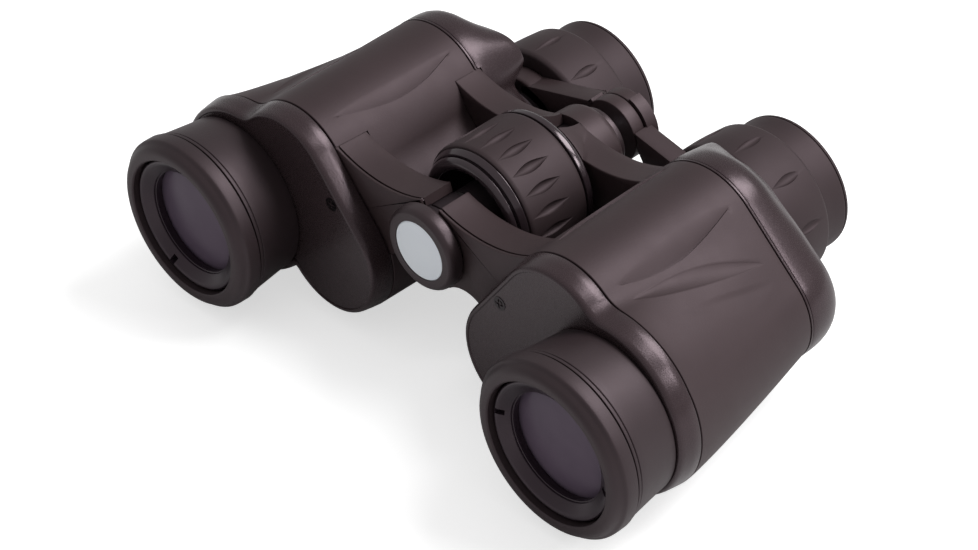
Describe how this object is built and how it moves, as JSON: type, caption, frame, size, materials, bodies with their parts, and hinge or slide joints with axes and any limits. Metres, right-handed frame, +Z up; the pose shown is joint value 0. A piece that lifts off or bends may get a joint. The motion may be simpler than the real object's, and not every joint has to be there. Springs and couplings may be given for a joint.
{
  "type": "binoculars",
  "caption": "Porro-prism binoculars with a folding centre hinge, a focus wheel that slides both eyepieces, and a dioptre ring on the right eyepiece.",
  "frame": {"origin": "centre of the bounding box on its bottom plane: on the resting surface, between the two halves and midway from the rims to the eyecups", "axes": "+X from the left half to the right half as seen by the user, +Y from the objectives back to the eyepieces, +Z up"},
  "size_m": [0.1612, 0.11, 0.0526],
  "materials": {
    "satin_black": "satin moulded plastic",
    "gloss_black": "glossier moulded plastic with a fine grain",
    "rubber_black": "soft satin rubber",
    "matt_black": "black anodised, matt",
    "coated_glass": "violet anti-reflection coating",
    "clear_glass": "polished",
    "steel": "ground steel",
    "blackened_steel": "blackened steel",
    "cap_grey": "pale grey disc",
    "nylon": "natural nylon"
  },
  "bodies": {
    "left_half": {"left_objective_rim": "satin_black", "left_objective_barrel": "satin_black", "left_retaining_ring": "matt_black", "left_objective_crown": "coated_glass", "left_objective_flint": "coated_glass", "left_front_cover": "gloss_black", "left_body_shell": "satin_black", "left_rear_cover": "gloss_black", "left_prism_shelf": "matt_black", "left_front_prism": "clear_glass", "left_rear_prism": "clear_glass", "left_prism_clips": "steel", "left_cover_screws": "blackened_steel", "left_guide_tube": "matt_black", "left_front_arm": "satin_black", "left_rear_arm": "satin_black", "hinge_pin": "steel", "hinge_tube": "steel", "hinge_nut": "gloss_black", "hinge_cap": "gloss_black", "cap_disc": "cap_grey", "front_washer": "nylon", "rear_washer": "nylon"},
    "right_half": {"right_objective_rim": "satin_black", "right_objective_barrel": "satin_black", "right_retaining_ring": "matt_black", "right_objective_crown": "coated_glass", "right_objective_flint": "coated_glass", "right_front_cover": "gloss_black", "right_body_shell": "satin_black", "right_rear_cover": "gloss_black", "right_prism_shelf": "matt_black", "right_front_prism": "clear_glass", "right_rear_prism": "clear_glass", "right_prism_clips": "steel", "right_cover_screws": "blackened_steel", "right_guide_tube": "matt_black", "right_front_arm": "satin_black", "right_rear_arm": "satin_black"},
    "focus_wheel": {"focus_wheel_core": "matt_black", "focus_wheel_sleeve": "rubber_black", "wheel_front_ring": "gloss_black", "wheel_rear_ring": "gloss_black"},
    "left_eyepiece": {"left_bridge_arm": "satin_black", "left_ocular_tube": "blackened_steel", "left_eyepiece_grip": "rubber_black", "left_ocular_cell": "matt_black", "left_field_lens": "coated_glass", "left_lens_spacer": "matt_black", "left_eye_lens": "coated_glass", "left_eyecup": "rubber_black", "focus_rod": "steel"},
    "right_bridge": {"right_bridge_arm": "satin_black", "right_ocular_tube": "blackened_steel"},
    "diopter_ring": {"right_diopter_grip": "rubber_black"},
    "right_ocular": {"right_ocular_cell": "matt_black", "right_field_lens": "coated_glass", "right_lens_spacer": "matt_black", "right_eye_lens": "coated_glass", "right_eyecup": "rubber_black"}
  },
  "joints": [
    {"name": "pupil_distance", "type": "hinge", "parent": "left_half", "child": "right_half", "pos_m": [0, 0, 0.03492], "axis": [0, -1, 0], "range_deg": [-16, 30]},
    {"name": "focus_turn", "type": "hinge", "parent": "left_half", "child": "focus_wheel", "pos_m": [0, 0, 0.03492], "axis": [0, 1, 0], "range_deg": [-144, 216]},
    {"name": "left_focus_slide", "type": "slide", "parent": "left_half", "child": "left_eyepiece", "axis": [0, 1, 0], "range_m": [-0.00201, 0.00301]},
    {"name": "right_focus_slide", "type": "slide", "parent": "right_half", "child": "right_bridge", "axis": [0, 1, 0], "range_m": [-0.00201, 0.00301]},
    {"name": "diopter_turn", "type": "hinge", "parent": "right_bridge", "child": "diopter_ring", "pos_m": [0.03038, 0, 0.0198], "axis": [0, 1, 0], "range_deg": [-40, 40]},
    {"name": "diopter_slide", "type": "slide", "parent": "right_bridge", "child": "right_ocular", "axis": [0, 1, 0], "range_m": [-0.00121, 0.00121]}
  ],
  "couplings": [
    {"joint": "left_focus_slide", "follows": "focus_turn", "m_per_rad": 0.00079577},
    {"joint": "right_focus_slide", "follows": "focus_turn", "m_per_rad": 0.00079577},
    {"joint": "diopter_slide", "follows": "diopter_turn", "m_per_rad": 0.0017189}
  ]
}
